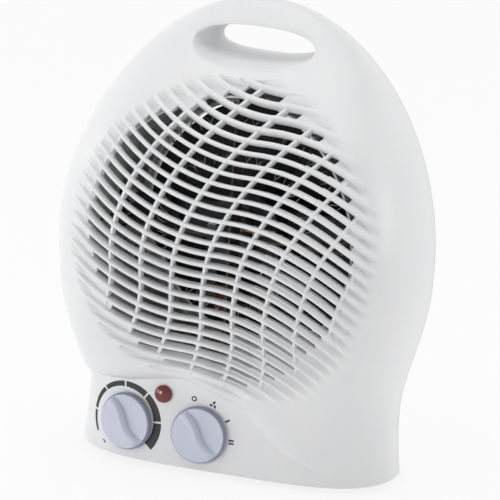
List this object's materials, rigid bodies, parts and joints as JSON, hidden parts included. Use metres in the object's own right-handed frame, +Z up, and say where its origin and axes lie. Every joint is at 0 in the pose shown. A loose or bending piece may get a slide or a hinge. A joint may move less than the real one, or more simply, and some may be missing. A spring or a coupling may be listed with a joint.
{
  "type": "fan convector heater",
  "caption": "Upright fan convector heater with a wavy louvred front, a handle slot, two turning control knobs, a signal lamp and a fan behind a heating element.",
  "frame": {"origin": "centre of the bounding box in plan, on the ground under the feet", "axes": "+Z up, -Y towards the louvred front, +X to the right seen from the front"},
  "size_m": [0.2088, 0.1118, 0.254],
  "materials": {
    "bright_steel": "bright",
    "copper": "varnished copper and sintered bronze",
    "cream_plastic": "matt",
    "dark_plastic": "matt",
    "knob_plastic": "lavender grey, semi-gloss",
    "lamp_glass": "small neon tube",
    "lamp_red": "clear red lens",
    "mica": "mottled mica board",
    "rubber": "matt",
    "sheet_steel": "galvanised sheet",
    "white_plastic": "semi-gloss moulded white"
  },
  "bodies": {
    "heater": {"bearing_bridge": "sheet_steel", "bearing_front": "copper", "bearing_rear": "copper", "bracket_screw_left": "bright_steel", "bracket_screw_right": "bright_steel", "cord_inlet_bush": "dark_plastic", "duct_screw_lower_left": "bright_steel", "duct_screw_lower_right": "bright_steel", "duct_screw_upper_left": "bright_steel", "duct_screw_upper_right": "bright_steel", "element_duct": "sheet_steel", "foot_front_left": "rubber", "foot_front_right": "rubber", "foot_rear_left": "rubber", "foot_rear_right": "rubber", "front_grille": "white_plastic", "front_housing": "white_plastic", "heating_wire_inner": "bright_steel", "heating_wire_outer": "bright_steel", "housing_screw_base": "bright_steel", "housing_screw_lower_left": "bright_steel", "housing_screw_lower_right": "bright_steel", "housing_screw_upper_left": "bright_steel", "housing_screw_upper_right": "bright_steel", "lamp_clip": "sheet_steel", "lamp_lens": "lamp_red", "mica_cross_level": "mica", "mica_cross_upright": "mica", "motor_bracket": "sheet_steel", "motor_coil": "copper", "motor_screw_left": "bright_steel", "motor_screw_right": "bright_steel", "neon_lamp": "lamp_glass", "rear_grille": "white_plastic", "rear_housing": "white_plastic", "selector_body": "dark_plastic", "selector_screw_left": "bright_steel", "selector_screw_right": "bright_steel", "stator_core": "sheet_steel", "terminal_block": "cream_plastic", "thermal_cutout": "dark_plastic", "thermal_fuse": "cream_plastic", "thermostat_body": "cream_plastic", "thermostat_screw_left": "bright_steel", "thermostat_screw_right": "bright_steel"},
    "thermostat_control": {"thermostat_knob": "knob_plastic", "thermostat_spindle": "bright_steel"},
    "selector_control": {"selector_knob": "knob_plastic", "selector_spindle": "bright_steel"},
    "fan": {"fan_clip": "bright_steel", "fan_impeller": "dark_plastic", "motor_rotor": "bright_steel", "motor_shaft": "bright_steel"}
  },
  "joints": [
    {"name": "thermostat_turn", "type": "hinge", "parent": "heater", "child": "thermostat_control", "pos_m": [-0.0557, -0.0355, 0.02376], "axis": [0.1741, 0.9729, -0.1523], "range_deg": [-95, 175]},
    {"name": "selector_turn", "type": "hinge", "parent": "heater", "child": "selector_control", "pos_m": [-0.0119, -0.03789, 0.02332], "axis": [0.0014, 0.988, -0.1547], "range_deg": [0, 133]},
    {"name": "fan_spin", "type": "hinge", "parent": "heater", "child": "fan", "pos_m": [0, 0.02918, 0.12727], "axis": [0, -0.988, 0.1547], "continuous": true}
  ]
}
